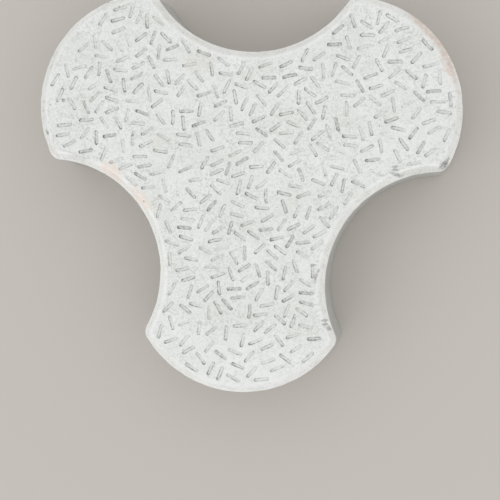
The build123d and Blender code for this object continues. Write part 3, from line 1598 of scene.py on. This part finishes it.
    def left_scrapes(self) -> tuple[Stain, ...]:
        """Smudge, scratches and spots on the left lobe and beside the left hollow.

        Returns:
            The stains, the undermost first.
        """
        return (
            self.stain(-108, 1.5, 11, 4.5, -6, self.soot, 0.22, height=5, ragged=2.5),
            self.scrape(-113.0, 4.6, 9.0, 0.5, -9, 0.45, 1.5),
            self.scrape(-105.0, 1.8, 9.0, 0.5, -12, 0.45, 1.5),
            self.scrape(-124.2, 13.0, 5.5, 0.5, 89, 0.45, 1.5),
            self.scrape(-128.6, 16.8, 2.6, 1.4, -65, 0.85, 1.5),
            self.scrape(-131.6, 36.5, 1.2, 1.2, 0, 0.50, 1.5),
            self.scrape(-131.8, 31.0, 1.0, 1.6, 0, 0.50, 1.5),
            self.scrape(-118.9, 37.8, 2.0, 2.0, 0, 0.95, 2.0),
            self.scrape(-73.2, 16.8, 1.3, 1.3, 0, 0.90, 2.0),
            self.scrape(-64.4, -24.8, 1.0, 1.0, 0, 0.80, 2.0),
        )

    def last_coats(self) -> tuple[Stain, ...]:
        """What lies over the scrapes: beige and dust at two tips, and the limy front lobe.

        Returns:
            The stains, the undermost first.
        """
        return (
            self.stain(-124.5, 6, 7, 3.5, -65, self.beige, 0.55, height=6, ragged=3),
            self.stain(112, 0, 22, 6, 5.73, self.dust, 0.45, height=12, ragged=3, on_band=True),
            self.stain(6, -128, 75, 34, 0, self.lime, 0.40, height=12, ragged=9),
        )

    def stains(self) -> tuple[Stain, ...]:
        """All the stains in the order in which they lie over each other, the same on face and wall."""
        return (*self.worn_and_lightened_band(), *self.clouds(), *self.warm_tints(), *self.right_scrapes(),
                *self.front_scrapes(), *self.left_scrapes(), *self.last_coats())

    def face(self) -> ConcreteFinish:
        """The pale top face, with the chamfered band.

        Returns:
            Its finish.
        """
        return ConcreteFinish(
            surface=Surface.FACE, colour=(0.784, 0.80, 0.79), shade=(0.705, 0.718, 0.688),
            light=(0.90, 0.905, 0.89), grime=(0.22, 0.235, 0.21), speck=(0.50, 0.51, 0.48),
            cloud_size=22 * MM,
            grain=Grain(size=1.7 * MM, share=0.60, height=0.05 * MM),
            pits=Pits(spacing=7.0 * MM, radius=0.075, depth=0.25 * MM),
            lip_share=0.65, roughness=(0.62, 0.85), stains=self.stains())

    def wall(self) -> ConcreteFinish:
        """The wall, painted darker than the face for the shade it stands in.

        Returns:
            Its finish.
        """
        return ConcreteFinish(
            # Painted shade: these colours are darker than the face's because the wall gets less light
            surface=Surface.WALL, colour=(0.52, 0.525, 0.505), shade=(0.42, 0.425, 0.405),
            light=(0.62, 0.62, 0.60), grime=(0.26, 0.255, 0.235), speck=(0.36, 0.355, 0.335),
            cloud_size=20 * MM,
            grain=Grain(size=1.1 * MM, share=0.45, height=0.10 * MM),
            pits=Pits(spacing=5.0 * MM, radius=0.12, depth=0.45 * MM),
            lip_share=0.25, roughness=(0.78, 0.95), stains=self.stains())

    def bed(self) -> ConcreteFinish:
        """The rough struck underside.

        Returns:
            Its finish.
        """
        return ConcreteFinish(
            surface=Surface.BED, colour=(0.54, 0.54, 0.515), shade=(0.43, 0.43, 0.41),
            light=(0.64, 0.64, 0.61), grime=(0.24, 0.235, 0.215), speck=(0.30, 0.295, 0.275),
            cloud_size=18 * MM,
            grain=Grain(size=1.6 * MM, share=0.6, height=0.25 * MM),
            pits=Pits(spacing=5.5 * MM, radius=0.16, depth=0.6 * MM),
            lip_share=0.2, roughness=(0.85, 0.98))

    def all(self) -> tuple[ConcreteFinish, ...]:
        """The finish of each surface, in the order of the slots."""
        return self.face(), self.wall(), self.bed()


@dataclass(frozen=True)
class Studio:
    """Plain pale floor, soft light and the camera of the photograph."""

    floor_colour: Colour = (0.56, 0.53, 0.49)
    floor_roughness: float = 0.9
    floor_size: float = 6.0
    camera_place: tuple[float, float, float] = (92.0 * MM, -29.8 * MM, 900.0 * MM)
    camera_aim: tuple[float, float, float] = (4.8 * MM, -53.3 * MM, 60.0 * MM)
    camera_up: tuple[float, float, float] = (-0.0397, 0.9989, -0.0239)
    lens: float = 96.23
    sensor_width: float = 36.0
    world_colour: Colour = (1.0, 1.0, 1.0)
    world_light: float = 0.93
    key_light: float = 0.30
    key_from: tuple[float, float, float] = (-1.0, -0.9, 1.15)
    key_softness: float = math.radians(50)

    def build(self) -> None:
        """Set up everything round the stone."""
        self.lay_floor()
        self.hang_lights()
        self.place_camera()
        bpy.context.scene.view_settings.view_transform = "Standard"

    def lay_floor(self) -> None:
        """Lay a level floor under the stone."""
        bm = bmesh.new()
        bmesh.ops.create_grid(bm, x_segments=1, y_segments=1, size=self.floor_size / 2)
        mesh = bpy.data.meshes.new("floor")
        bm.to_mesh(mesh)
        bm.free()
        floor = bpy.data.objects.new("floor", mesh)
        bpy.context.scene.collection.objects.link(floor)
        material = bpy.data.materials.new("floor_paper")
        material.use_nodes = True
        shader = material.node_tree.nodes["Principled BSDF"]
        shader.inputs["Base Color"].default_value = (*self.floor_colour, 1.0)
        shader.inputs["Roughness"].default_value = self.floor_roughness
        mesh.materials.append(material)

    def hang_lights(self) -> None:
        """Light from all round, with a soft key from the lower left of the picture."""
        world = bpy.data.worlds.new("studio")
        world.use_nodes = True
        background = world.node_tree.nodes["Background"]
        background.inputs["Color"].default_value = (*self.world_colour, 1.0)
        background.inputs["Strength"].default_value = self.world_light
        bpy.context.scene.world = world
        lamp = bpy.data.lights.new("key", "SUN")
        lamp.energy = self.key_light
        lamp.angle = self.key_softness
        key = bpy.data.objects.new("key", lamp)
        key.rotation_euler = Vector(self.key_from).to_track_quat("Z", "Y").to_euler()
        bpy.context.scene.collection.objects.link(key)

    def place_camera(self) -> None:
        """Stand the camera where the photograph was taken."""
        lens = bpy.data.cameras.new("camera")
        lens.sensor_width = self.sensor_width
        lens.lens = self.lens
        camera = bpy.data.objects.new("camera", lens)
        back = (Vector(self.camera_place) - Vector(self.camera_aim)).normalized()
        right = Vector(self.camera_up).cross(back).normalized()
        up = back.cross(right)
        turn = Matrix((right, up, back)).transposed().to_4x4()
        camera.matrix_world = Matrix.Translation(self.camera_place) @ turn
        bpy.context.scene.collection.objects.link(camera)
        bpy.context.scene.camera = camera


def main() -> None:
    """Build the stone and the studio, and keep the sizes."""
    logging.basicConfig(level=logging.INFO, format="%(name)s: %(message)s")
    lowest, highest = (Vector(corner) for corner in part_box(NODE))
    stone = CastStone(Section(lowest, highest)).build()
    effects = Effects()
    for finish in Finishes().all():
        stone.data.materials.append(finish.material(effects))
    LOG.info("cast_stone: %d points, %d faces", len(stone.data.vertices), len(stone.data.polygons))
    Studio().build()
    bpy.context.view_layer.update()


if __name__ == "__main__":
    main()
